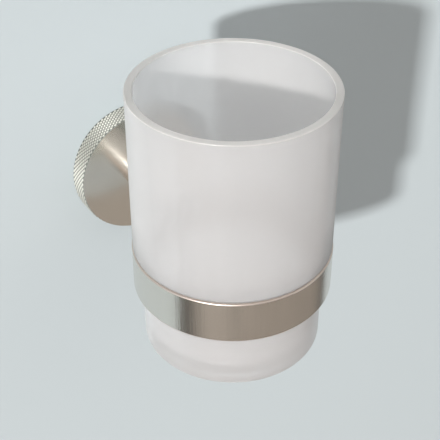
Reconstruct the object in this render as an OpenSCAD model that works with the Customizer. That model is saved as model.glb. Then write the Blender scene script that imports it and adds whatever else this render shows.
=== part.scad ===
// A wall-mounted tumbler holder: a knurled rosette over a concealed bracket, a straight round
// stem, a plain ring, and a stepped glass tumbler that hangs in the ring by its shoulder.
// Millimetres. The origin is the centre of the rosette's back. The wall is the plane Y = 0,
// the holder stands out from it towards -Y, and +Z is up.

/* [Tumbler] */
// Outer diameter of the upper body
tumbler_d = 70; // [60:0.5:90]
// Height over all
tumbler_h = 100; // [80:0.5:140]
// Thickness of the side wall
tumbler_wall = 2.75; // [2:0.05:4]
// Height of the narrower lower body, from the base to the shoulder
lower_h = 39.5; // [30:0.5:50]
// How far the upper body stands out beyond the lower body
shoulder_step = 3; // [2.5:0.1:4.5]
// Rounding of the shoulder's outer edge
shoulder_round = 1; // [0.5:0.1:1.8]
// Rounding of the step's edge inside
step_round = 1; // [0.3:0.1:1.2]
// Thickness of the base
base_t = 6; // [3:0.5:12]
// Rounding of the base's outer edge
base_round = 2; // [0.5:0.1:4]
// Rounding inside, between the floor and the wall
floor_round = 4; // [1:0.5:8]
// Rounding of both edges of the rim
rim_round = 0.4; // [0.2:0.1:0.9]
// Diameter of the shallow hollow under the base
hollow_d = 48; // [40:1:52]
// Depth of that hollow
hollow_h = 0.8; // [0.6:0.1:1.2]
// Rounding of the hollow's upper edge
hollow_round = 0.5; // [0.1:0.1:0.5]

/* [Ring] */
// Height of the band
ring_h = 16; // [15:0.5:26]
// Thickness of the band
ring_wall = 3; // [2.8:0.1:4]
// Gap all round between the tumbler's lower body and the bore
ring_gap = 0.3; // [0.2:0.05:0.6]
// Rounding of the outer edges
ring_round = 0.5; // [0.4:0.1:1.3]
// Rounding of the inner edges
ring_inner_round = 0.4; // [0.2:0.1:0.6]

/* [Stem] */
// Diameter of the stem
stem_d = 14; // [13:0.5:15]
// Length that shows between the rosette and the ring
stem_l = 31.2; // [28:0.2:70]
// Gap between the stem's coped end and the ring
cope_gap = 0.05; // [0.02:0.01:0.2]
// Diameter of the spigot that enters the rosette
spigot_d = 10; // [9:0.5:11]
// Width across the two flats that keep the spigot from turning
spigot_flats = 8; // [7.5:0.1:8.8]
// Gap round the spigot in its hole
spigot_gap = 0.1; // [0.05:0.05:0.2]
// How far the spigot's end stays short of the inside of the rosette's face
spigot_short = 0.2; // [0.1:0.1:0.5]

/* [Rosette] */
// Diameter over the peaks of the knurl
rosette_d = 52.2; // [51:0.2:64]
// Depth from the wall to the face
rosette_t = 9; // [8.6:0.1:12]
// Thickness of the face
face_t = 2.5; // [2:0.1:2.8]
// Thickness of the edge, from the peaks of the knurl to the cavity
edge_t = 3.3; // [2.8:0.1:3.8]
// Depth of the knurl
knurl_depth = 0.45; // [0.2:0.05:0.6]
// Diamonds round the edge
knurl_count = 80; // [60:2:96]
// Rows of diamonds across the edge
knurl_rows = 6; // [4:1:8]

/* [Bracket] */
// Thickness of the bracket's back plate
plate_t = 2.5; // [2.2:0.1:3.5]
// How far the bracket stays short of the inside of the rosette's face
bracket_short = 0.7; // [0.3:0.1:1]
// Thickness of the bracket's raised edge
collar_t = 3.3; // [2.9:0.1:3.4]
// Gap between the bracket and the rosette's cavity
bracket_gap = 0.2; // [0.1:0.05:0.3]
// Distance of the grub screw and its groove from the wall
grub_out = 3.6; // [2.8:0.1:3.8]
// Depth of the groove for the grub screw
groove_depth = 1.5; // [1:0.1:1.7]
// Opening in the middle, which clears the stem's screw
bracket_hole_d = 16; // [14:0.5:17]
// Distance between the two wall screws
screw_spacing = 28; // [27:0.5:29]

/* [Wall screws] */
// Diameter over the thread
wall_screw_d = 4; // [3.6:0.1:4.2]
// Length over all
wall_screw_l = 35; // [25:1:60]
// Diameter of the head
wall_head_d = 8; // [7:0.1:8.4]
// Diameter of the plain neck under the head
wall_neck_d = 3.2; // [2.8:0.1:3.4]
// Length of the point
wall_point_l = 4; // [2:0.5:6]
// Gap round the neck in the bracket
wall_hole_gap = 0.5; // [0.3:0.05:0.6]

/* [Stem screw and washer] */
// Diameter over the thread
stem_screw_d = 6; // [5:0.5:6]
// Length of the thread
stem_screw_l = 14; // [10:0.5:16]
// Diameter of the head
stem_head_d = 10.5; // [9:0.1:11]
// Height of the head
stem_head_h = 3; // [2:0.1:3.3]
// Width across the flats of its hexagon socket
stem_socket = 4; // [3:0.5:5]
// Outer diameter of the washer
washer_d = 12; // [11:0.5:13]
// Thickness of the washer
washer_t = 1; // [0.8:0.1:1.4]
// Hole in the washer, over the screw's diameter
washer_gap = 0.4; // [0.2:0.1:0.6]

/* [Ring screw] */
// Diameter over the thread
ring_screw_d = 5; // [4:0.5:5]
// Length over all
ring_screw_l = 12; // [8:0.5:13]
// Diameter of the head
ring_head_d = 9.2; // [8.4:0.1:9.6]
// How far the head's face lies below the bore
ring_head_sink = 0.1; // [0.05:0.05:0.2]
// Width across the flats of its hexagon socket
ring_socket = 3; // [2:0.5:4]

/* [Grub screw] */
// Diameter over the thread
grub_d = 4; // [3:0.5:4]
// Gap between its end and the outside of the knurl's peaks
grub_sink = 0.9; // [0.6:0.1:1.4]
// Width across the flats of its hexagon socket
grub_socket = 2; // [1.5:0.1:2.2]

/* [Hidden] */
// Cuts run this far past the surface they cut
overrun = 1;
// Radial gap between a screw's thread and its hole
thread_gap = 0.05;
// Depth of a socket or recess, as a share of its width
socket_share = 0.6;
// Depth left under the end of a screw in a blind hole
hole_spare = 1.5;
// Radial gap between a countersunk head and its seat
seat_gap = 0.1;
// Gap between the grub screw's point and the bottom of the groove
point_gap = 0.3;
round_fn = 96;
small_fn = 48;

tumbler_r = tumbler_d / 2;
lower_r = tumbler_r - shoulder_step;
ring_bore_r = lower_r + ring_gap;
ring_r = ring_bore_r + ring_wall;
// The ring's axis, measured out from the wall
axis_out = rosette_t + stem_l + ring_r;
// The shoulder sits on the ring's top, and the ring is level with the stem
shoulder_z = ring_h / 2;
base_z = shoulder_z - lower_h;
rim_z = base_z + tumbler_h;

peak_r = rosette_d / 2;
valley_r = peak_r - knurl_depth;
cavity_r = peak_r - edge_t;
core_r = (valley_r + cavity_r) / 2;
inner_face = rosette_t - face_t;

bracket_t = inner_face - bracket_short;
collar_r = cavity_r - bracket_gap;
collar_bore_r = collar_r - collar_t;

spigot_l = face_t - spigot_short;
washer_out = inner_face - washer_t;
grub_point_r = collar_r - groove_depth + point_gap;
grub_end_r = peak_r - grub_sink;
silver = [0.62, 0.58, 0.53];
steel = [0.55, 0.56, 0.58];
frosted = [0.88, 0.88, 0.87, 0.8];

// Turns a shape that rises along Z so that it rises out from the wall, with its Y as up
module out_from_wall() {
    rotate([90, 0, 0]) children();
}

// The ring's axis, upright and in front of the wall
module at_ring_axis() {
    translate([0, -axis_out, 0]) children();
}

// The outline of a wall from x0 to x1 and z0 to z1, whose four corners have their own radii:
// low outer, low inner, high outer, high inner. A radius of zero leaves a corner square.
module rounded_wall(x0, x1, z0, z1, low_out, low_in, high_out, high_in) {
    corners = [[x1, z0, -1, 1, low_out], [x0, z0, 1, 1, low_in],
               [x1, z1, -1, -1, high_out], [x0, z1, 1, -1, high_in]];
    difference() {
        translate([x0, z0]) square([x1 - x0, z1 - z0]);
        for (c = corners) corner_cut(c[0], c[1], c[2], c[3], c[4]);
    }
}

// What a rounded corner loses: a square with a quarter disc left in it
module corner_cut(x, z, to_x, to_z, r) {
    if (r > 0) {
        difference() {
            translate([to_x > 0 ? x - overrun : x - r, to_z > 0 ? z - overrun : z - r])
                square(r + overrun);
            translate([x + to_x * r, z + to_z * r]) circle(r, $fn = small_fn);
        }
    }
}

// A countersunk head: a cone under a face of diameter d, narrowing to the neck at 45 degrees
module countersunk(head_r, neck_r) {
    cylinder(h = head_r - neck_r, r1 = head_r, r2 = neck_r, $fn = small_fn);
}

// A hexagon socket of this width across flats, sunk from z = 0 downwards
module hex_socket(width) {
    translate([0, 0, -width * socket_share])
        cylinder(h = width * socket_share + overrun, d = width / cos(180 / 6), $fn = 6);
}

// The knurled edge: a height field of diamonds wrapped round a drum. Every second point of a
// grid stands at the peaks and the rest lie in the valleys, and each grid square is folded
// along the line that joins its two valley points. The first and the last row run out to the
// valleys, so that the edge begins and ends as a plain circle.
module knurled_band() {
    columns = 2 * knurl_count;
    rows = 2 * knurl_rows;
    outside = [for (j = [0 : rows], i = [0 : columns - 1])
        let (low = (i + j) % 2 == 0 || j == 0 || j == rows, r = low ? valley_r : peak_r,
             a = 360 * i / columns)
        [r * cos(a), r * sin(a), rosette_t * j / rows]];
    inside = [for (j = [0, rows], i = [0 : columns - 1])
        let (a = 360 * i / columns)
        [core_r * cos(a), core_r * sin(a), rosette_t * j / rows]];
    first_inside = columns * (rows + 1);
    skin = [for (j = [0 : rows - 1], i = [0 : columns - 1])
        let (k = (i + 1) % columns,
             a = j * columns + i, b = j * columns + k,
             c = a + columns, d = b + columns)
        each (i + j) % 2 == 0 ? [[a, d, b], [a, c, d]] : [[a, c, b], [b, c, d]]];
    bore = [for (i = [0 : columns - 1])
        let (k = (i + 1) % columns,
             a = first_inside + i, b = first_inside + k,
             c = a + columns, d = b + columns)
        each [[a, b, d], [a, d, c]]];
    back = [for (i = [0 : columns - 1])
        let (k = (i + 1) % columns)
        each [[i, k, first_inside + k], [i, first_inside + k, first_inside + i]]];
    front = [for (i = [0 : columns - 1])
        let (k = (i + 1) % columns, top = rows * columns, inner = first_inside + columns)
        each [[top + i, inner + k, top + k], [top + i, inner + i, inner + k]]];
    polyhedron(points = concat(outside, inside), faces = concat(skin, bore, back, front));
}

// A hollow cover: the knurled edge round a plain cup, with a keyed hole for the stem's spigot
// and a threaded hole for the grub screw underneath
module rosette() {
    color(silver) out_from_wall() difference() {
        union() {
            knurled_band();
            cylinder(h = rosette_t, r = (core_r + valley_r) / 2, $fn = round_fn);
        }
        translate([0, 0, -overrun]) cylinder(h = inner_face + overrun, r = cavity_r, $fn = round_fn);
        translate([0, 0, inner_face - overrun]) linear_extrude(face_t + 2 * overrun)
            spigot_outline(spigot_gap);
        translate([0, 0, grub_out]) rotate([90, 0, 0])
            cylinder(h = peak_r + overrun, r = grub_d / 2 + thread_gap, $fn = small_fn);
    }
}

// The spigot's outline, a disc with two flats, grown by a gap
module spigot_outline(gap) {
    intersection() {
        circle(d = spigot_d + 2 * gap, $fn = round_fn);
        square([spigot_flats + 2 * gap, spigot_d + 2 * gap + overrun], center = true);
    }
}

// A turned plate with a raised, grooved edge that centres the rosette
module wall_bracket() {
    groove_r = collar_r - groove_depth;
    color(steel) out_from_wall() difference() {
        rotate_extrude($fn = round_fn) polygon([
            [bracket_hole_d / 2, 0],
            [collar_r, 0],
            [collar_r, grub_out - groove_depth],
            [groove_r, grub_out],
            [collar_r, grub_out + groove_depth],
            [collar_r, bracket_t],
            [collar_bore_r, bracket_t],
            [collar_bore_r, plate_t],
            [bracket_hole_d / 2, plate_t]]);
        for (side = [-1, 1]) translate([side * screw_spacing / 2, 0, 0]) {
            translate([0, 0, -overrun])
                cylinder(h = plate_t + 2 * overrun, r = wall_neck_d / 2 + wall_hole_gap, $fn = small_fn);
            translate([0, 0, plate_t]) mirror([0, 0, 1])
                countersunk(wall_head_d / 2 + seat_gap, wall_neck_d / 2);
        }
    }
}

// Countersunk screws with a cross recess. The plain neck ends at the wall, the thread is behind it.
module wall_screws() {
    color(steel) out_from_wall() for (side = [-1, 1])
        translate([side * screw_spacing / 2, 0, plate_t]) mirror([0, 0, 1]) wall_screw();
}

module wall_screw() {
    thread_end = wall_screw_l - wall_point_l;
    recess = wall_head_d * socket_share;
    difference() {
        union() {
            countersunk(wall_head_d / 2, wall_neck_d / 2);
            cylinder(h = plate_t, d = wall_neck_d, $fn = small_fn);
            translate([0, 0, plate_t])
                cylinder(h = thread_end - plate_t, d = wall_screw_d, $fn = small_fn);
            translate([0, 0, thread_end])
                cylinder(h = wall_point_l, r1 = wall_screw_d / 2, r2 = wall_screw_d / 10, $fn = small_fn);
        }
        for (turn = [0, 90]) rotate(turn)
            cube([recess, recess / 4, recess / 2], center = true);
    }
}

// A set screw that stands in the rosette's edge and bears in the bracket's groove
module grub_screw() {
    grub_r = grub_d / 2;
    point_h = grub_r;
    color(steel) out_from_wall() translate([0, 0, grub_out]) rotate([90, 0, 0]) difference() {
        union() {
            translate([0, 0, grub_point_r])
                cylinder(h = point_h, r1 = grub_r / 10, r2 = grub_r, $fn = small_fn);
            translate([0, 0, grub_point_r + point_h])
                cylinder(h = grub_end_r - grub_point_r - point_h, r = grub_r, $fn = small_fn);
        }
        translate([0, 0, grub_end_r]) hex_socket(grub_socket);
    }
}

// A straight bar, keyed into the rosette, coped to the ring, and tapped at both ends
module stem() {
    bar_end = axis_out - ring_bore_r;
    spigot_end = rosette_t - spigot_l;
    rear_hole_end = washer_out + stem_screw_l + hole_spare;
    front_hole_end = bar_end - ring_screw_l - hole_spare;
    color(silver) difference() {
        out_from_wall() difference() {
            union() {
                translate([0, 0, rosette_t])
                    cylinder(h = bar_end - rosette_t, d = stem_d, $fn = round_fn);
                translate([0, 0, spigot_end]) linear_extrude(spigot_l + overrun)
                    spigot_outline(0);
            }
            translate([0, 0, spigot_end - overrun])
                cylinder(h = rear_hole_end - spigot_end + overrun,
                         r = stem_screw_d / 2 + thread_gap, $fn = small_fn);
            translate([0, 0, front_hole_end])
                cylinder(h = bar_end - front_hole_end + overrun,
                         r = ring_screw_d / 2 + thread_gap, $fn = small_fn);
        }
        at_ring_axis() cylinder(h = stem_d + 2 * overrun, r = ring_r + cope_gap, center = true,
                                $fn = round_fn);
    }
}

// A pan head screw with a hexagon socket, put in from inside the rosette
module stem_screw() {
    color(steel) out_from_wall() translate([0, 0, washer_out]) difference() {
        union() {
            cylinder(h = stem_screw_l, d = stem_screw_d, $fn = small_fn);
            mirror([0, 0, 1]) rotate_extrude($fn = small_fn)
                rounded_wall(0, stem_head_d / 2, 0, stem_head_h, 0, 0, stem_head_h / 2, 0);
        }
        translate([0, 0, -stem_head_h]) mirror([0, 0, 1]) hex_socket(stem_socket);
    }
}

// The washer between that screw's head and the rosette's face
module stem_washer() {
    color(steel) out_from_wall() translate([0, 0, washer_out]) difference() {
        cylinder(h = washer_t, d = washer_d, $fn = round_fn);
        translate([0, 0, -overrun])
            cylinder(h = washer_t + 2 * overrun, d = stem_screw_d + washer_gap, $fn = small_fn);
    }
}

// A band with rounded edges, drilled and countersunk at the back for the screw into the stem
module holder_ring() {
    color(silver) difference() {
        at_ring_axis() rotate_extrude($fn = round_fn)
            rounded_wall(ring_bore_r, ring_r, -ring_h / 2, ring_h / 2,
                         ring_round, ring_inner_round, ring_round, ring_inner_round);
        out_from_wall() translate([0, 0, axis_out - ring_bore_r - ring_head_sink]) {
            mirror([0, 0, 1]) cylinder(h = ring_wall + overrun, r = ring_screw_d / 2 + thread_gap,
                                       $fn = small_fn);
            mirror([0, 0, 1]) countersunk(ring_head_d / 2 + seat_gap, ring_screw_d / 2);
            cylinder(h = ring_head_sink + overrun, r = ring_head_d / 2 + seat_gap, $fn = small_fn);
        }
    }
}

// The countersunk screw that draws the ring on to the stem, with its head below the bore
module ring_screw() {
    color(steel) out_from_wall()
        translate([0, 0, axis_out - ring_bore_r - ring_head_sink]) mirror([0, 0, 1]) difference() {
            union() {
                countersunk(ring_head_d / 2, ring_screw_d / 2);
                cylinder(h = ring_screw_l, d = ring_screw_d, $fn = small_fn);
            }
            mirror([0, 0, 1]) hex_socket(ring_socket);
        }
}

// A stepped glass with a heavy base, which is slightly hollow underneath. The wide upper body
// rests on the ring, and the lower body hangs through it.
module tumbler() {
    upper_bore_r = tumbler_r - tumbler_wall;
    lower_bore_r = lower_r - tumbler_wall;
    floor_z = base_z + base_t;
    step_z = shoulder_z + tumbler_wall;
    color(frosted) at_ring_axis() difference() {
        rotate_extrude($fn = round_fn) union() {
            rounded_wall(0, lower_r, base_z, shoulder_z + overrun, base_round, 0, 0, 0);
            rounded_wall(0, tumbler_r, shoulder_z, rim_z, shoulder_round, 0, rim_round, 0);
        }
        rotate_extrude($fn = round_fn) union() {
            rounded_wall(0, lower_bore_r, floor_z, step_z + overrun, floor_round, 0, 0, 0);
            rounded_wall(0, upper_bore_r, step_z, rim_z + overrun, shoulder_round, 0, 0, 0);
            edge_flare(lower_bore_r, step_z, step_round);
            edge_flare(upper_bore_r, rim_z, rim_round);
        }
        rotate_extrude($fn = round_fn)
            rounded_wall(0, hollow_d / 2, base_z - overrun, base_z + hollow_h, 0, 0, hollow_round, 0);
    }
}

// What the rounding at the top of a bore takes off: a corner with a quarter disc left in it
module edge_flare(bore_r, top_z, r) {
    difference() {
        translate([bore_r - overrun, top_z - r]) square([r + overrun, r + overrun]);
        translate([bore_r + r, top_z - r]) circle(r, $fn = small_fn);
    }
}

rosette();
wall_bracket();
wall_screws();
grub_screw();
stem();
stem_screw();
stem_washer();
holder_ring();
ring_screw();
tumbler();
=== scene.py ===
import bpy
import bmesh
import math
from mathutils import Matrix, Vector


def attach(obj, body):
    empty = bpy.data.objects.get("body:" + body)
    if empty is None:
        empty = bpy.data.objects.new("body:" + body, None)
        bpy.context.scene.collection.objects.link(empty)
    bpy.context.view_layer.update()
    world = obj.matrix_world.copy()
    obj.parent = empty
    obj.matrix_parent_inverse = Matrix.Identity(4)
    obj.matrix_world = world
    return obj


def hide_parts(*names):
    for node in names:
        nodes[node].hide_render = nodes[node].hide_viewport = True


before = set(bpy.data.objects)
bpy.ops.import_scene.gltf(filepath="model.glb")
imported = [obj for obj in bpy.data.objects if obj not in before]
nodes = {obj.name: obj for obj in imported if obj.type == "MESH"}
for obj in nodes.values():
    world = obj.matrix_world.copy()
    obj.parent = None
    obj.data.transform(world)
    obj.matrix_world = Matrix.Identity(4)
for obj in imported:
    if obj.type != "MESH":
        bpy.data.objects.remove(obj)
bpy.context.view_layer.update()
scene = bpy.context.scene
mm = 0.001            # the dictionaries hold millimetres
axisY = -75.5         # the ring's axis, in front of the wall
ringRadius = 35.3     # the ring's outside
print("frame loaded:", len(nodes), "nodes")


def addNode(tree, kind, inputs=None, **settings):
    node = tree.nodes.new(kind)
    for name, value in settings.items():
        setattr(node, name, value)
    for name, value in (inputs or {}).items():
        plug(tree, node.inputs[name], value)
    return node


def plug(tree, socket, value):
    if isinstance(value, bpy.types.NodeSocket):
        tree.links.new(value, socket)
    else:
        socket.default_value = value


# geometry trees use the same math node as materials
def calc(tree, operation, a, b=0.0, c=0.0):
    return addNode(tree, "ShaderNodeMath", {0: a, 1: b, 2: c}, operation=operation).outputs[0]


def newMaterial(name, values):
    material = bpy.data.materials.new(name)
    material.use_nodes = True
    tree = material.node_tree
    shader = tree.nodes["Principled BSDF"]
    for key, value in values.items():
        shader.inputs[key].default_value = value
    return material, tree, shader


# carries a value from one span over to another
def ramp(tree, value, span=(0.0, 1.0), ends=(0.0, 1.0), **settings):
    return addNode(tree, "ShaderNodeMapRange", {
        "Value": value, "From Min": span[0], "From Max": span[1],
        "To Min": ends[0], "To Max": ends[1]}, **settings).outputs["Result"]


def inMetres(lengths):
    return [value * mm for value in lengths]


def opaque(colour):
    return (*colour, 1)


def mixColours(tree, factor, first, second):
    return addNode(tree, "ShaderNodeMix", {0: factor, 6: first, 7: second}, data_type="RGBA").outputs[2]


def mixShaders(tree, factor, first, second):
    return addNode(tree, "ShaderNodeMixShader", {0: factor, 1: first, 2: second}).outputs[0]


def objectPlace(tree):
    return addNode(tree, "ShaderNodeTexCoord").outputs["Object"]


def parted(tree, vector):
    return addNode(tree, "ShaderNodeSeparateXYZ", {0: vector}).outputs


def joined(tree, x=0.0, y=0.0, z=0.0):
    return addNode(tree, "ShaderNodeCombineXYZ", {0: x, 1: y, 2: z}).outputs[0]


# how far a point lies from the middle
def distance(tree, a, b):
    return calc(tree, "SQRT", calc(tree, "MULTIPLY_ADD", a, a, calc(tree, "MULTIPLY", b, b)))


# scale is how often the noise repeats in each unit of place, which is a metre for object coordinates
def noise(tree, place, scale, detail, roughness=0.5):
    return addNode(tree, "ShaderNodeTexNoise", {"Vector": place, "Scale": scale, "Detail": detail,
                                                "Roughness": roughness}).outputs["Fac"]


def bumped(tree, shader, height, strength, depth):
    bump = addNode(tree, "ShaderNodeBump", {"Height": height, "Strength": strength, "Distance": depth})
    plug(tree, shader.inputs["Normal"], bump.outputs[0])


# what all brushed metals share: fine lines and a soft cloud, mixed by their shares
brushing = {"lineDetail": 5.0, "lineRoughness": 0.65, "lineShare": 0.7,
            "cloudScale": 55.0, "cloudDetail": 2.0, "cloudShare": 0.3}
bumpDepthShare = 0.1     # a bump's depth, as a share of its pattern's pitch


# across and along say which way the brushing runs: lines are thin across and long along, and where they
# run round an axis, along is an angle and a length of 1000 is one radian
def brushed(name, look, place):
    values = {"Metallic": 1.0, "Anisotropic": look["anisotropy"]}
    material, tree, shader = newMaterial(name, values)
    here = objectPlace(tree)
    across, along = place(tree, *parted(tree, here))
    u = calc(tree, "DIVIDE", across, look["pitch"] * mm)
    v = calc(tree, "DIVIDE", along, look["length"] * mm)
    lines = noise(tree, joined(tree, u, v), 1.0, brushing["lineDetail"], brushing["lineRoughness"])
    cloud = noise(tree, here, brushing["cloudScale"], brushing["cloudDetail"])
    both = calc(tree, "ADD", calc(tree, "MULTIPLY", lines, brushing["lineShare"]),
                calc(tree, "MULTIPLY", cloud, brushing["cloudShare"]))
    plug(tree, shader.inputs["Roughness"], ramp(tree, both, ends=look["roughness"]))
    dark = opaque(c * look["shade"] for c in look["colour"])
    plug(tree, shader.inputs["Base Color"], mixColours(tree, both, dark, opaque(look["colour"])))
    bumped(tree, shader, lines, look["bump"], look["pitch"] * mm * bumpDepthShare)
    return material


def upTheRing(tree, x, y, z):        # upright lines round an upright drum
    front = calc(tree, "SUBTRACT", axisY * mm, y)
    angle = calc(tree, "ARCTAN2", x, front)
    return calc(tree, "MULTIPLY", angle, ringRadius * mm), z


def roundTheStem(tree, x, y, z):     # turned lines round a bar that points out from the wall
    return y, calc(tree, "ARCTAN2", x, z)


def overTheFace(tree, x, y, z):      # straight lines over a flat face
    return z, x


def roundTheDisc(tree, x, y, z):     # turned rings on a disc
    return distance(tree, x, z), calc(tree, "ARCTAN2", x, z)


# where the mask is one, another colour and roughness take over
def overlay(material, mask, colour, roughness):
    tree = material.node_tree
    shader = tree.nodes["Principled BSDF"]
    base = shader.inputs["Base Color"].links[0].from_socket
    plug(tree, shader.inputs["Base Color"], mixColours(tree, mask, base, colour))
    smooth = shader.inputs["Roughness"].links[0].from_socket
    mixed = addNode(tree, "ShaderNodeMix", {"Factor": mask, "A": smooth, "B": roughness}).outputs[0]
    plug(tree, shader.inputs["Roughness"], mixed)


# the ring's rounded edges and its narrow top and bottom are less smooth than its band, and painted rosier
# and darker: a painted reflection that dims and colours the line of light along them
def ringWithPaintedEdges(name, look, edge):
    material = brushed(name, look, upTheRing)
    tree = material.node_tree
    z = parted(tree, objectPlace(tree))["Z"]
    mask = ramp(tree, calc(tree, "ABSOLUTE", z), inMetres(edge["over"]))
    overlay(material, mask, opaque(edge["colour"]), edge["roughness"])
    return material


# the rosette's edge: a coarser finish on the diamonds, and painted shade in the valleys between them, paler
# near the face
def knurled(name, look, cut):
    material = brushed(name, look, overTheFace)
    tree = material.node_tree
    x, y, z = parted(tree, objectPlace(tree))
    radius = distance(tree, x, z)
    # painted shade: the colour darkens from the diamonds' tips down into the valleys, and less so near the
    # face
    height = ramp(tree, radius, inMetres(cut["over"]))
    nearFront = ramp(tree, y, inMetres((-cut["front"], cut["easeOver"] - cut["front"])), (cut["ease"], 0.0))
    beyond = calc(tree, "GREATER_THAN", radius, (cut["over"][0] - cut["margin"]) * mm)
    edge = calc(tree, "MULTIPLY", beyond, calc(tree, "GREATER_THAN", y, -cut["front"] * mm))
    grooved = mixColours(tree, calc(tree, "MAXIMUM", height, nearFront), opaque(cut["groove"]),
                         opaque(cut["tip"]))
    overlay(material, edge, grooved, cut["roughness"])
    return material


# pitch and length are those of the brushed lines, and shade is the share of the colour in the darkest ones
nickel = {"colour": (0.845, 0.825, 0.765), "roughness": (0.14, 0.22), "anisotropy": 0.0,
          "pitch": 0.4, "length": 30.0, "shade": 0.93, "bump": 0.35}
# painted reflection: a rosier, darker colour on the ring's edges, coming in between these heights from its
# middle
paintedRingEdge = {"over": (7.45, 7.65), "colour": (0.70, 0.61, 0.55), "roughness": 0.42}
ringNickel = ringWithPaintedEdges("ringNickel", {**nickel, "roughness": (0.18, 0.26), "pitch": 1.0, "shade": 0.8,
                                      "bump": 0.45}, paintedRingEdge)
stemNickel = brushed("stemNickel", {**nickel, "colour": (0.86, 0.80, 0.755), "length": 1500.0,
                                    "roughness": (0.17, 0.21), "anisotropy": 0.5, "bump": 0.1}, roundTheStem)
stemTree = stemNickel.node_tree
# the tangent runs round the stem, as its turned lines do
tangent = addNode(stemTree, "ShaderNodeTangent", direction_type="RADIAL", axis="Y").outputs[0]
plug(stemTree, stemTree.nodes["Principled BSDF"].inputs["Tangent"], tangent)
# the valley colour here is painted shade and the tip colour the diamonds' own; ease is the share of the tip
# colour the valleys get back at the face, fading over easeOver
knurlCut = {"over": (25.67, 25.87), "margin": 0.03, "front": 8.97, "groove": (0.17, 0.18, 0.16),
            "tip": (0.70, 0.70, 0.65), "roughness": 0.5, "ease": 0.4, "easeOver": 0.8}
faceNickel = knurled("faceNickel", {**nickel, "colour": (0.87, 0.865, 0.80), "roughness": (0.16, 0.19),
                                    "pitch": 0.3, "shade": 1.0, "bump": 0.02}, knurlCut)

steel = {"colour": (0.62, 0.62, 0.63), "roughness": (0.22, 0.38), "anisotropy": 0.0,
         "pitch": 0.35, "length": 1500.0, "shade": 0.85, "bump": 0.4}
turnedSteel = brushed("turnedSteel", steel, roundTheDisc)
platedSteel = brushed("platedSteel", {**steel, "colour": (0.68, 0.68, 0.70), "roughness": (0.2, 0.32),
                                      "length": 2.0, "shade": 0.9, "bump": 0.15}, overTheFace)


glassIor = 1.5


def glassy(tree, colour, clear, roughness):
    return addNode(tree, "ShaderNodeBsdfPrincipled", {
        "Base Color": opaque(colour), "IOR": glassIor, "Transmission Weight": clear,
        "Roughness": roughness}).outputs[0]


def frosted(name, look):
    values = {"Base Color": opaque(look["colour"]), "IOR": glassIor,
              "Transmission Weight": look["transmission"], "Coat Weight": look["coat"],
              "Coat Roughness": look["roughness"][1]}
    material, tree, shader = newMaterial(name, values)
    here = objectPlace(tree)
    x, y, z = parted(tree, here)
    cloud = noise(tree, here, look["cloudScale"], look["cloudDetail"])
    plug(tree, shader.inputs["Roughness"], ramp(tree, cloud, ends=look["roughness"]))
    grain = noise(tree, here, 1 / (look["grain"] * mm), look["grainDetail"])
    bumped(tree, shader, grain, look["bump"], look["grain"] * mm * bumpDepthShare)
    through = addNode(tree, "ShaderNodeBsdfTranslucent", {"Color": opaque(look["through"])}).outputs[0]
    scatter = ramp(tree, z, inMetres(look["base"]), (look["baseScatter"], look["scatter"]))
    wall = mixShaders(tree, scatter, shader.outputs[0], through)

    # seen at a glancing angle the outside is hazy on the foot, and matt on the body; these matt greys are
    # painted shade along the outline, painted darker towards the ring
    upper = calc(tree, "GREATER_THAN", z, look["shoulder"] * mm)
    radius = distance(tree, x, calc(tree, "SUBTRACT", y, axisY * mm))
    outside = calc(tree, "GREATER_THAN", radius, ramp(tree, upper, ends=inMetres(look["outside"])))
    facing = addNode(tree, "ShaderNodeLayerWeight", {"Blend": look["edgeBlend"]}).outputs["Facing"]
    grazing = ramp(tree, facing, (ramp(tree, upper, ends=look["edgeFrom"]), look["edgeTo"]),
                   (0.0, look["edgeShare"]))
    clear = glassy(tree, look["edgeColour"], 1.0, look["roughness"][0])
    # painted shade: grey on the body's outline, darker towards the ring, and a paler grey on the foot's
    corner = ramp(tree, z, inMetres(look["corner"]))
    bodyEdgeShade = mixColours(tree, corner, opaque(look["paintedShadeByRing"]), opaque(look["paintedBodyEdgeShade"]))
    paintedEdgeShade = mixColours(tree, upper, opaque(look["paintedFootEdgeShade"]), bodyEdgeShade)
    matt = addNode(tree, "ShaderNodeBsdfDiffuse", {"Color": paintedEdgeShade}).outputs[0]
    edge = mixShaders(tree, ramp(tree, upper, ends=look["mattShare"]), clear, matt)
    edged = mixShaders(tree, calc(tree, "MULTIPLY", grazing, outside), wall, edge)

    # the rim is ground flat, and whiter than the walls
    ground = glassy(tree, look["rimColour"], look["rimClear"], look["rimRoughness"])
    whole = mixShaders(tree, ramp(tree, z, inMetres(look["rim"])), edged, ground)
    plug(tree, tree.nodes["Material Output"].inputs["Surface"], whole)
    return material


# outside, which is the least radius of the outer surface, edgeFrom and mattShare are given for the foot and
# the body; base, corner and rim are heights between which a look changes; the matt colours are painted shade
glass = {"colour": (0.985, 0.975, 0.98), "through": (0.99, 0.985, 0.99), "scatter": 0.24,
         "transmission": 0.7, "base": (-27.0, -16.0), "baseScatter": 0.38, "roughness": (0.13, 0.17),
         "coat": 0.2, "cloudScale": 40.0, "cloudDetail": 3.0, "grain": 0.3, "grainDetail": 2.0, "bump": 0.1,
         "shoulder": 8.0, "outside": (30.5, 33.5), "edgeBlend": 0.5, "edgeFrom": (0.6, 0.5), "edgeTo": 0.9,
         "edgeShare": 0.8, "edgeColour": (0.95, 0.98, 1.0), "mattShare": (0.6, 1.0),
         "paintedFootEdgeShade": (0.75, 0.76, 0.77), "paintedBodyEdgeShade": (0.6, 0.6, 0.6), "corner": (10.0, 26.0),
         "paintedShadeByRing": (0.4, 0.4, 0.4), "rim": (68.1, 68.35), "rimColour": (0.72, 0.70, 0.68),
         "rimClear": 0.4, "rimRoughness": 0.35}
frostedGlass = frosted("frostedGlass", glass)
print("materials made")


# how points and edges of every turned or drawn mesh are treated, in millimetres and degrees
making = {"roundSteps": 8, "atPole": 1e-6, "mergeWithin": 1e-4, "sharpOver": 35}


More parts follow.
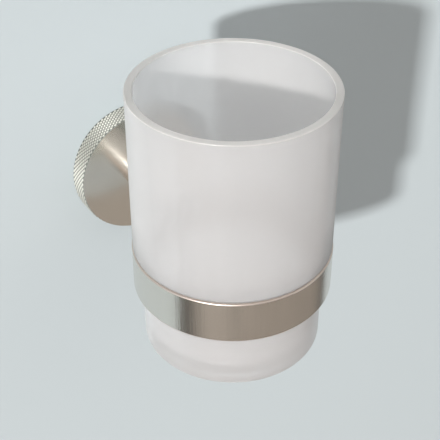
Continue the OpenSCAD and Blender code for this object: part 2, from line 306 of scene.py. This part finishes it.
# corners are (across, along, rounding); a rounding of zero leaves the corner sharp
def roundedOutline(corners, steps=making["roundSteps"]):
    points = []
    for i, (x, y, rounding) in enumerate(corners):
        here = Vector((x, y))
        if not rounding:
            points.append(here)
            continue
        before = (Vector(corners[i - 1][:2]) - here).normalized()
        after = (Vector(corners[(i + 1) % len(corners)][:2]) - here).normalized()
        half = before.angle(after) / 2
        centre = here + (before + after).normalized() * (rounding / math.sin(half))
        start = here + before * (rounding / math.tan(half)) - centre
        end = here + after * (rounding / math.tan(half)) - centre
        turn = math.copysign(math.pi - 2 * half, start.x * end.y - start.y * end.x)
        for k in range(steps + 1):
            a = turn * k / steps
            points.append(centre + Vector((start.x * math.cos(a) - start.y * math.sin(a),
                                           start.x * math.sin(a) + start.y * math.cos(a))))
    return points


# turns an outline of (radius, height) points about an upright axis, from pole to pole or to an open end
def spun(name, outline, segments):
    mesh = bmesh.new()
    rings = []
    for radius, height in outline:
        if radius < making["atPole"]:
            rings.append([mesh.verts.new((0, 0, height))])
        else:
            rings.append([mesh.verts.new((radius * math.cos(math.tau * k / segments),
                                          radius * math.sin(math.tau * k / segments), height))
                          for k in range(segments)])
    for low, high in zip(rings, rings[1:]):
        for k in range(segments):
            n = (k + 1) % segments
            corners = [low[k % len(low)], low[n % len(low)], high[n % len(high)], high[k % len(high)]]
            unique = list(dict.fromkeys(corners))
            if len(unique) > 2:
                mesh.faces.new(unique)
    return settled(name, mesh)


# doubles are merged, faces turned outwards and the mesh made an object
def settled(name, mesh):
    bmesh.ops.remove_doubles(mesh, verts=mesh.verts, dist=making["mergeWithin"])
    bmesh.ops.recalc_face_normals(mesh, faces=mesh.faces)
    data = bpy.data.meshes.new(name)
    mesh.to_mesh(data)
    mesh.free()
    shadeWith(data, making["sharpOver"])
    return placed(name, data)


def shadeWith(data, sharpOver):
    data.shade_smooth()
    data.set_sharp_from_angle(angle=math.radians(sharpOver))


def placed(name, data):
    piece = bpy.data.objects.new(name, data)
    scene.collection.objects.link(piece)
    return piece


def dress(piece, material):
    piece.data.materials.clear()
    piece.data.materials.append(material)


# modifiers become part of the mesh
def baked(piece):
    bpy.context.view_layer.update()
    graph = bpy.context.evaluated_depsgraph_get()
    data = bpy.data.meshes.new_from_object(piece.evaluated_get(graph), preserve_all_data_layers=True,
                                           depsgraph=graph)
    piece.modifiers.clear()
    piece.data = data
    return data


# millimetres become metres once the piece is at its place
def finished(piece, material, move=(0, 0, 0)):
    data = baked(piece)
    for vertex in data.vertices:
        vertex.co = (vertex.co + Vector(move)) * mm
    dress(piece, material)
    data.name = piece.name


# the cutter goes once it has cut
def cutBy(piece, cutter):
    cut = piece.modifiers.new("cut", "BOOLEAN")
    cut.object = cutter
    cut.solver = "EXACT"
    baked(piece)
    bpy.data.objects.remove(cutter)


# the tumbler
tumbler = {"outer": 35.0, "foot": 32.0, "wall": 2.75, "bottom": -31.5, "shoulder": 8.0, "rim": 68.5,
           "base": 6.0, "baseRound": 2.0, "floorRound": 4.0, "shoulderRound": 1.0, "stepRound": 1.0,
           "rimRound": 0.4, "hollow": 24.0, "hollowDepth": 0.8, "hollowRound": 0.5, "segments": 192}


def makeTumbler(t):
    innerUpper, innerFoot = t["outer"] - t["wall"], t["foot"] - t["wall"]
    floor, step = t["bottom"] + t["base"], t["shoulder"] + t["wall"]
    outline = roundedOutline([
        (0, t["bottom"] + t["hollowDepth"], 0),
        (t["hollow"], t["bottom"] + t["hollowDepth"], t["hollowRound"]),
        (t["hollow"], t["bottom"], 0),
        (t["foot"], t["bottom"], t["baseRound"]),
        (t["foot"], t["shoulder"], 0),
        (t["outer"], t["shoulder"], t["shoulderRound"]),
        (t["outer"], t["rim"], t["rimRound"]),
        (innerUpper, t["rim"], t["rimRound"]),
        (innerUpper, step, t["shoulderRound"]),
        (innerFoot, step, t["stepRound"]),
        (innerFoot, floor, t["floorRound"]),
        (0, floor, 0)])
    piece = spun("frostedTumbler", outline, t["segments"])
    even = piece.modifiers.new("even", "WEIGHTED_NORMAL")
    even.keep_sharp = True
    finished(piece, frostedGlass, (0, axisY, 0))
    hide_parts("tumbler")
    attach(piece, "glass")


makeTumbler(tumbler)
print("tumbler made")


# the knurled rosette
rosette = {"peak": 26.1, "valley": 25.65, "thickness": 9.0, "diamonds": 80, "rows": 6, "flatTip": 0.16,
           "cavity": 22.8, "face": 2.5, "hole": 5.1, "grubOut": 3.6, "grubRadius": 2.05,
           "drill": (-28.0, -20.0), "drillSegments": 32, "mergeWithin": 0.002, "nearEnd": 1e-3,
           "sharpOver": 12}


# one diamond of the knurl, two units wide and high, with a small worn flat at its tip
def oneDiamond(tip):
    mesh = bmesh.new()
    outer = [mesh.verts.new(p) for p in ((1, 0, 0), (0, 1, 0), (-1, 0, 0), (0, -1, 0))]
    inner = [mesh.verts.new((v.co.x * tip, v.co.y * tip, 1)) for v in outer]
    centre = mesh.verts.new((0, 0, 1))
    for k in range(4):
        n = (k + 1) % 4
        mesh.faces.new((outer[k], outer[n], inner[n], inner[k]))
        mesh.faces.new((inner[k], inner[n], centre))
    data = bpy.data.meshes.new("diamond")
    mesh.to_mesh(data)
    mesh.free()
    return placed("knurledRosette", data)


def newTree(name, source, inputs):
    tree = bpy.data.node_groups.new(name, "GeometryNodeTree")
    face = tree.interface
    face.new_socket("Geometry", in_out="OUTPUT", socket_type="NodeSocketGeometry")
    face.new_socket(source, in_out="INPUT", socket_type="NodeSocketGeometry")
    for label, kind in inputs.items():
        face.new_socket(label, in_out="INPUT", socket_type="NodeSocket" + kind)
    return tree, tree.nodes.new("NodeGroupInput").outputs


def closeTree(tree, geometry, finish):
    real = addNode(tree, "GeometryNodeRealizeInstances", {0: geometry}).outputs[0]
    painted = addNode(tree, "GeometryNodeSetMaterial", {"Geometry": real, "Material": finish}).outputs[0]
    addNode(tree, "NodeGroupOutput", {0: painted})


# the tree sets the diamonds out on a flat staggered grid and then wraps it round the drum
def knurlTree():
    tree, given = newTree("knurl", "Diamond", {
        "Around": "Int", "Rows": "Int", "Valley radius": "Float", "Depth": "Float", "Thickness": "Float",
        "Merge within": "Float", "Finish": "Material"})
    columns = calc(tree, "MULTIPLY", given["Around"], 2.0)
    rows = calc(tree, "MULTIPLY", given["Rows"], 2.0)
    lanes = calc(tree, "ADD", rows, 1.0)
    count = calc(tree, "MULTIPLY", columns, lanes)
    index = addNode(tree, "GeometryNodeInputIndex").outputs[0]
    # half a step is added so that rounding can't move a point to another column
    column = calc(tree, "FLOOR", calc(tree, "DIVIDE", calc(tree, "ADD", index, 0.5), lanes))
    row = calc(tree, "SUBTRACT", index, calc(tree, "MULTIPLY", column, lanes))
    points = addNode(tree, "GeometryNodePoints", {"Count": count,
                                                  "Position": joined(tree, column, row)}).outputs[0]
    parity = calc(tree, "MODULO", calc(tree, "ADD", column, row), 2.0)
    odd = calc(tree, "GREATER_THAN", parity, 0.5)
    spread = addNode(tree, "GeometryNodeInstanceOnPoints", {"Points": points, "Selection": odd,
                                                            "Instance": given["Diamond"]}).outputs[0]
    solid = addNode(tree, "GeometryNodeRealizeInstances", {0: spread}).outputs[0]

    position = addNode(tree, "GeometryNodeInputPosition").outputs[0]
    across, along, height = parted(tree, position)
    before = calc(tree, "LESS_THAN", along, 0.0)
    after = calc(tree, "GREATER_THAN", along, rows)
    beyond = calc(tree, "MAXIMUM", before, after)
    trimmed = addNode(tree, "GeometryNodeDeleteGeometry", {"Geometry": solid, "Selection": beyond},
                      domain="FACE").outputs[0]
    # tips at the two ends stay down, so that the knurl runs out to plain circles
    inside = calc(tree, "MULTIPLY", calc(tree, "GREATER_THAN", along, 0.5),
                  calc(tree, "LESS_THAN", along, calc(tree, "SUBTRACT", rows, 0.5)))
    angle = calc(tree, "MULTIPLY", across, calc(tree, "DIVIDE", math.tau, columns))
    radius = calc(tree, "MULTIPLY_ADD", calc(tree, "MULTIPLY", height, inside), given["Depth"],
                  given["Valley radius"])
    out = calc(tree, "MULTIPLY", calc(tree, "DIVIDE", along, rows), given["Thickness"])
    wrapped = joined(tree, calc(tree, "MULTIPLY", radius, calc(tree, "COSINE", angle)),
                     calc(tree, "MULTIPLY", out, -1.0),
                     calc(tree, "MULTIPLY", radius, calc(tree, "SINE", angle)))
    drum = addNode(tree, "GeometryNodeSetPosition", {"Geometry": trimmed, "Position": wrapped}).outputs[0]
    whole = addNode(tree, "GeometryNodeMergeByDistance", {"Geometry": drum,
                                                          "Distance": given["Merge within"]}).outputs[0]
    closeTree(tree, whole, given["Finish"])
    return tree


# an input is set by its socket's identifier
def setInputs(modifier, values):
    for socket in modifier.node_group.interface.items_tree:
        if socket.in_out == "INPUT" and socket.name in values:
            modifier[socket.identifier] = values[socket.name]


def makeRosette(r):
    piece = oneDiamond(r["flatTip"])
    modifier = piece.modifiers.new("knurl", "NODES")
    modifier.node_group = knurlTree()
    setInputs(modifier, {"Around": r["diamonds"], "Rows": r["rows"], "Valley radius": r["valley"],
                         "Depth": r["peak"] - r["valley"], "Thickness": r["thickness"],
                         "Merge within": r["mergeWithin"], "Finish": faceNickel})
    data = baked(piece)
    mesh = bmesh.new()
    mesh.from_mesh(data)
    ends = [[e for e in mesh.edges if e.is_boundary and all(abs(v.co.y - y) < r["nearEnd"] for v in e.verts)]
            for y in (0, -r["thickness"])]
    print("knurl:", len(mesh.faces), "faces,", *(len(edges) for edges in ends), "edges at its ends")
    inner = -(r["thickness"] - r["face"])
    # behind come the rim, the cavity and its floor, and in front the face and the hole through it
    for edges, steps in zip(ends, (((r["cavity"], 0), (r["cavity"], inner), (r["hole"], inner)),
                                   ((r["hole"], -r["thickness"]), (r["hole"], inner)))):
        for radius, y in steps:
            made = bmesh.ops.extrude_edge_only(mesh, edges=edges)["geom"]
            for v in (v for v in made if isinstance(v, bmesh.types.BMVert)):
                flat = Vector((v.co.x, 0, v.co.z)).normalized() * radius
                v.co = (flat.x, y, flat.z)
            edges = [e for e in made if isinstance(e, bmesh.types.BMEdge)]
    bmesh.ops.remove_doubles(mesh, verts=mesh.verts, dist=r["mergeWithin"])
    bmesh.ops.recalc_face_normals(mesh, faces=mesh.faces)
    mesh.to_mesh(data)
    mesh.free()
    low, high = r["drill"]     # the grub screw's hole, from below
    drill = spun("drill", [(0, low), (r["grubRadius"], low), (r["grubRadius"], high), (0, high)],
                 r["drillSegments"])
    drill.location.y = -r["grubOut"]
    cutBy(piece, drill)
    finished(piece, faceNickel)
    shadeWith(piece.data, r["sharpOver"])
    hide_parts("rosette")
    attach(piece, "holder")


makeRosette(rosette)
print("rosette made")


# the two wall screws, with their threads
wallScrews = {"count": 2, "spacing": 28.0, "head": 3.9, "edge": 0.15, "seat": 2.5, "neck": 1.6, "core": 1.4,
              "crest": 2.0, "pitch": 1.8, "ridgeShare": 0.5, "length": 32.5, "point": 4.5, "runIn": 1.2,
              "segments": 32, "rowsPerTurn": 8, "mergeWithin": 0.004, "sharpOver": 30,
              "recess": {"above": 0.5, "deep": 1.8, "arm": (2.3, 0.7), "half": (0.6, 0.3)}}


# the rows of a grid run up the helix and rise to its crest; the head's mesh joins the shank at the neck
def screwTree():
    tree, given = newTree("woodScrews", "Head", {
        "Segments": "Int", "Rows per turn": "Int", "Pitch": "Float", "Length": "Float", "Point": "Float",
        "Run in": "Float", "Neck": "Float", "Core": "Float", "Crest": "Float", "Ridge share": "Float",
        "Count": "Int", "Spacing": "Float", "Merge within": "Float", "Finish": "Material"})
    turns = calc(tree, "ADD", calc(tree, "CEIL", calc(tree, "DIVIDE", given["Length"], given["Pitch"])), 1.0)
    rows = calc(tree, "MULTIPLY", turns, given["Rows per turn"])
    grid = addNode(tree, "GeometryNodeMeshGrid", {
        "Size X": 1.0, "Size Y": turns, "Vertices X": calc(tree, "ADD", given["Segments"], 1.0),
        "Vertices Y": calc(tree, "ADD", rows, 1.0)}).outputs[0]
    position = addNode(tree, "GeometryNodeInputPosition").outputs[0]
    x, y, z = parted(tree, position)
    share = calc(tree, "ADD", x, 0.5)
    turn = calc(tree, "ADD", y, calc(tree, "MULTIPLY", turns, 0.5))
    turned = calc(tree, "ADD", turn, calc(tree, "SUBTRACT", share, 1.0))
    climb = calc(tree, "MULTIPLY", turned, given["Pitch"])
    along = calc(tree, "MINIMUM", calc(tree, "MAXIMUM", climb, 0.0), given["Length"])
    offCrest = calc(tree, "ABSOLUTE", calc(tree, "SUBTRACT", calc(tree, "FRACT", turn), 0.5))
    fall = calc(tree, "DIVIDE", calc(tree, "MULTIPLY", offCrest, 2.0), given["Ridge share"])
    ridge = calc(tree, "MAXIMUM", calc(tree, "SUBTRACT", 1.0, fall), 0.0)
    begun = calc(tree, "MINIMUM", calc(tree, "DIVIDE", along, given["Run in"]), 1.0)
    left = calc(tree, "DIVIDE", calc(tree, "SUBTRACT", given["Length"], along), given["Point"])
    taper = calc(tree, "MINIMUM", left, 1.0)
    toCore = calc(tree, "SUBTRACT", given["Core"], given["Neck"])
    toCrest = calc(tree, "MULTIPLY", calc(tree, "SUBTRACT", given["Crest"], given["Core"]), ridge)
    grown = calc(tree, "MULTIPLY_ADD", calc(tree, "ADD", toCore, toCrest), begun, given["Neck"])
    radius = calc(tree, "MULTIPLY", grown, taper)
    angle = calc(tree, "MULTIPLY", share, math.tau)
    wound = joined(tree, calc(tree, "MULTIPLY", radius, calc(tree, "COSINE", angle)),
                   calc(tree, "MULTIPLY", radius, calc(tree, "SINE", angle)), along)
    shank = addNode(tree, "GeometryNodeSetPosition", {"Geometry": grid, "Position": wound}).outputs[0]
    both = addNode(tree, "GeometryNodeJoinGeometry", {0: shank})
    tree.links.new(given["Head"], both.inputs[0])
    screw = addNode(tree, "GeometryNodeMergeByDistance", {"Geometry": both.outputs[0],
                                                          "Distance": given["Merge within"]}).outputs[0]
    row = calc(tree, "MULTIPLY", given["Spacing"], calc(tree, "SUBTRACT", given["Count"], 1.0))
    places = addNode(tree, "GeometryNodeMeshLine", {
        "Count": given["Count"], "Start Location": joined(tree, calc(tree, "MULTIPLY", row, -0.5)),
        "Offset": joined(tree, given["Spacing"])}).outputs[0]
    spread = addNode(tree, "GeometryNodeInstanceOnPoints", {
        "Points": places, "Instance": screw, "Rotation": (-math.pi / 2, 0, 0)}).outputs[0]
    closeTree(tree, spread, given["Finish"])
    return tree


# a cross that narrows towards its bottom, one for each screw
def crossCutter(s):
    recess = s["recess"]
    levels = list(zip(recess["arm"], recess["half"], (-recess["above"], recess["deep"])))
    mesh = bmesh.new()
    for k in range(s["count"]):
        centre = s["spacing"] * (k - (s["count"] - 1) / 2)
        loops = []
        for arm, half, out in levels:
            quarter = [(arm, -half), (arm, half), (half, half)]
            points = [(x * math.cos(a) - y * math.sin(a), x * math.sin(a) + y * math.cos(a))
                      for a in (math.pi / 2 * turn for turn in range(4)) for x, y in quarter]
            loops.append([mesh.verts.new((centre + x, out - s["seat"], z)) for x, z in points])
        for loop in loops:
            mesh.faces.new(loop)
        shallow, deep = loops
        for i in range(len(deep)):
            n = (i + 1) % len(deep)
            mesh.faces.new((shallow[i], shallow[n], deep[n], deep[i]))
    return settled("crossCutter", mesh)


def makeWallScrews(s):
    toNeck = s["head"] - s["neck"]
    outline = [(0, -s["seat"]), (s["head"], -s["seat"]), (s["head"], s["edge"] - s["seat"]),
               (s["neck"], s["edge"] - s["seat"] + toNeck), (s["neck"], 0)]
    piece = spun("threadedWallScrews", outline, s["segments"])
    modifier = piece.modifiers.new("woodScrews", "NODES")
    modifier.node_group = screwTree()
    setInputs(modifier, {"Segments": s["segments"], "Rows per turn": s["rowsPerTurn"], "Pitch": s["pitch"],
                         "Length": s["length"], "Point": s["point"], "Run in": s["runIn"], "Neck": s["neck"],
                         "Core": s["core"], "Crest": s["crest"], "Ridge share": s["ridgeShare"],
                         "Count": s["count"], "Spacing": s["spacing"], "Merge within": s["mergeWithin"],
                         "Finish": platedSteel})
    data = baked(piece)
    mesh = bmesh.new()
    mesh.from_mesh(data)
    bmesh.ops.recalc_face_normals(mesh, faces=mesh.faces)
    print("wall screws:", len(mesh.faces), "faces,", sum(e.is_boundary for e in mesh.edges), "open edges")
    mesh.to_mesh(data)
    mesh.free()
    cutBy(piece, crossCutter(s))
    finished(piece, platedSteel)
    shadeWith(piece.data, s["sharpOver"])
    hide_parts("wall_screws")
    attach(piece, "holder")


makeWallScrews(wallScrews)
print("wall screws made")

# these keep their solids
finishes = {"holder_ring": ringNickel, "stem": stemNickel, "wall_bracket": turnedSteel,
            "grub_screw": platedSteel, "stem_screw": platedSteel,
            "stem_washer": platedSteel, "ring_screw": platedSteel}
for name, material in finishes.items():
    dress(nodes[name], material)


# backdrop, light and camera
studio = {"wall": (0.583, 0.65, 0.68), "floor": (0.70, 0.69, 0.67), "wide": 2500, "high": 1200,
          "floorAt": -600, "deep": 2500, "cove": 60, "coveSteps": 12,
          "gap": 0.2, "hole": 24, "roughness": 0.8}
# the floor that the part reflects is warmer and darker than the pale one that shows, and has soft spots of
# painted
# shade seen only in reflections: place, half width, half depth, share of the light taken away; core is each
# one's darkest share
below = {"colour": (0.345, 0.295, 0.263), "lower": 1, "cloud": 0.2, "cloudSize": 220, "cloudDetail": 1.0,
         "core": 0.2,
         "shadePatches": ((-850, 0, 700, 500, 0.78), (-690, -150, 150, 130, 0.67),
                     (1000, 0, 900, 300, 0.8), (-455, -817, 240, 180, 0.4), (-60, -500, 260, 130, 0.7))}


# see-through from behind and behind the rosette, so that the object's back can be looked at
def oneSided(name, colour, hole=0.0):
    values = {"Base Color": opaque(colour), "Roughness": studio["roughness"]}
    material, tree, shader = newMaterial(name, values)
    behind = addNode(tree, "ShaderNodeNewGeometry").outputs["Backfacing"]
    x, y, z = parted(tree, objectPlace(tree))
    fromCentre = distance(tree, distance(tree, x, y), z)
    seeThrough = calc(tree, "MAXIMUM", behind, calc(tree, "LESS_THAN", fromCentre, hole * mm))
    clear = addNode(tree, "ShaderNodeBsdfTransparent").outputs[0]
    plug(tree, tree.nodes["Material Output"].inputs["Surface"],
         mixShaders(tree, seeThrough, shader.outputs[0], clear))
    return material


def floorWithPaintedShade(b):
    material = oneSided("warmFloor", b["colour"])
    tree = material.node_tree
    here = objectPlace(tree)
    x, y, z = parted(tree, here)
    cloud = noise(tree, here, 1 / (b["cloudSize"] * mm), b["cloudDetail"])
    light = ramp(tree, cloud, ends=(1 - b["cloud"], 1 + b["cloud"]))
    # each spot is painted shade, seen only in reflections
    for across, out, wide, deep, dark in b["shadePatches"]:
        u = calc(tree, "DIVIDE", calc(tree, "SUBTRACT", x, across * mm), wide * mm)
        v = calc(tree, "DIVIDE", calc(tree, "SUBTRACT", y, out * mm), deep * mm)
        lit = ramp(tree, distance(tree, u, v), (b["core"], 1.0), (1 - dark, 1.0),
                   interpolation_type="SMOOTHSTEP")
        light = calc(tree, "MULTIPLY", light, lit)
    shaded = mixColours(tree, light, (0, 0, 0, 1), opaque(b["colour"]))
    plug(tree, tree.nodes["Principled BSDF"].inputs["Base Color"], shaded)
    return material


# a profile of (y, z) points drawn out sideways
def sheet(name, profile, wide, material):
    points = [(side * wide * mm, y * mm, z * mm) for y, z in profile for side in (-1, 1)]
    faces = [(2 * k, 2 * k + 2, 2 * k + 3, 2 * k + 1) for k in range(len(profile) - 1)]
    data = bpy.data.meshes.new(name)
    data.from_pydata(points, [], faces)
    data.shade_smooth()
    data.materials.append(material)
    piece = placed(name, data)
    return piece


def makeStudio(s, b):
    steps, warmAt = s["coveSteps"], s["floorAt"] - b["lower"]
    corner = [(s["gap"] - s["cove"] * (1 - math.cos(a)), s["floorAt"] + s["cove"] * (1 - math.sin(a)))
              for a in (math.pi / 2 * k / steps for k in range(steps + 1))]
    flat = corner + [(-s["deep"], s["floorAt"])]
    wall = sheet("studioWall", [(s["gap"], s["high"]), (s["gap"], warmAt)], s["wide"],
                 oneSided("paleWall", s["wall"], s["hole"]))
    shown = sheet("studioFloor", flat, s["wide"], oneSided("paleFloor", s["floor"]))
    for kind in ("diffuse", "glossy", "transmission", "shadow"):
        setattr(shown, "visible_" + kind, False)
    warm = sheet("warmFloor", [(s["gap"], warmAt), (-s["deep"], warmAt)], s["wide"], floorWithPaintedShade(b))
    warm.visible_camera = False
    print("backdrop faces the holder:", wall.data.polygons[0].normal.y < 0,
          shown.data.polygons[-1].normal.z > 0)


makeStudio(studio, below)


# the lamp shines on a point on the ring's axis, at the height aim
key = {"towards": (-0.791, -0.612), "elevation": 14.0, "distance": 8000, "aim": 20, "side": 380,
       "power": 650, "colour": (1.0, 0.985, 0.965)}
sky = {"low": (0.27, 0.285, 0.295), "high": (0.80, 0.77, 0.735), "over": (0.1, 0.65), "tilt": 0.3}


def makeLamp(name, k):
    lamp = bpy.data.lights.new(name, "AREA")
    lamp.size = k["side"] * mm
    lamp.energy = k["power"]
    lamp.color = k["colour"]
    light = placed(name, lamp)
    e = math.radians(k["elevation"])
    towards = Vector((k["towards"][0] * math.cos(e), k["towards"][1] * math.cos(e), math.sin(e)))
    light.location = (Vector((0, axisY, k["aim"])) + towards * k["distance"]) * mm
    light.rotation_mode = "QUATERNION"
    light.rotation_quaternion = towards.to_track_quat("Z", "Y")


# the sky gets brighter and warmer overhead, and a little brighter towards the right
def makeSky(s):
    world = bpy.data.worlds.new("softLight")
    scene.world = world
    world.use_nodes = True
    tree = world.node_tree
    towards = addNode(tree, "ShaderNodeTexCoord").outputs["Generated"]
    right, out, up = parted(tree, towards)
    share = ramp(tree, up, s["over"], interpolation_type="SMOOTHSTEP")
    background = tree.nodes["Background"].inputs
    plug(tree, background["Color"], mixColours(tree, share, opaque(s["low"]), opaque(s["high"])))
    plug(tree, background["Strength"], calc(tree, "MULTIPLY_ADD", right, s["tilt"], 1.0))


makeLamp("key", key)
makeSky(sky)

# the photograph's viewpoint, fitted to the outlines of the glass, the ring and the rosette
view = {"from": (-157.96, -316.30, 226.59), "to": (-5.19, axisY, 18.41), "lens": 84.21, "sensor": 36,
        "near": 10, "far": 20000}


def makeCamera(v):
    camera = bpy.data.cameras.new("photoCamera")
    camera.lens = v["lens"]
    camera.sensor_width = v["sensor"]
    camera.clip_start, camera.clip_end = v["near"] * mm, v["far"] * mm
    piece = placed("photoCamera", camera)
    piece.location = Vector(v["from"]) * mm
    piece.rotation_mode = "QUATERNION"
    piece.rotation_quaternion = (Vector(v["to"]) - Vector(v["from"])).to_track_quat("-Z", "Y")
    scene.camera = piece


makeCamera(view)
scene.view_settings.view_transform = "Standard"
scene.view_settings.look = "None"
bounces = 10     # light passes the frosted walls many times
scene.cycles.diffuse_bounces = bounces

print("scene ready")
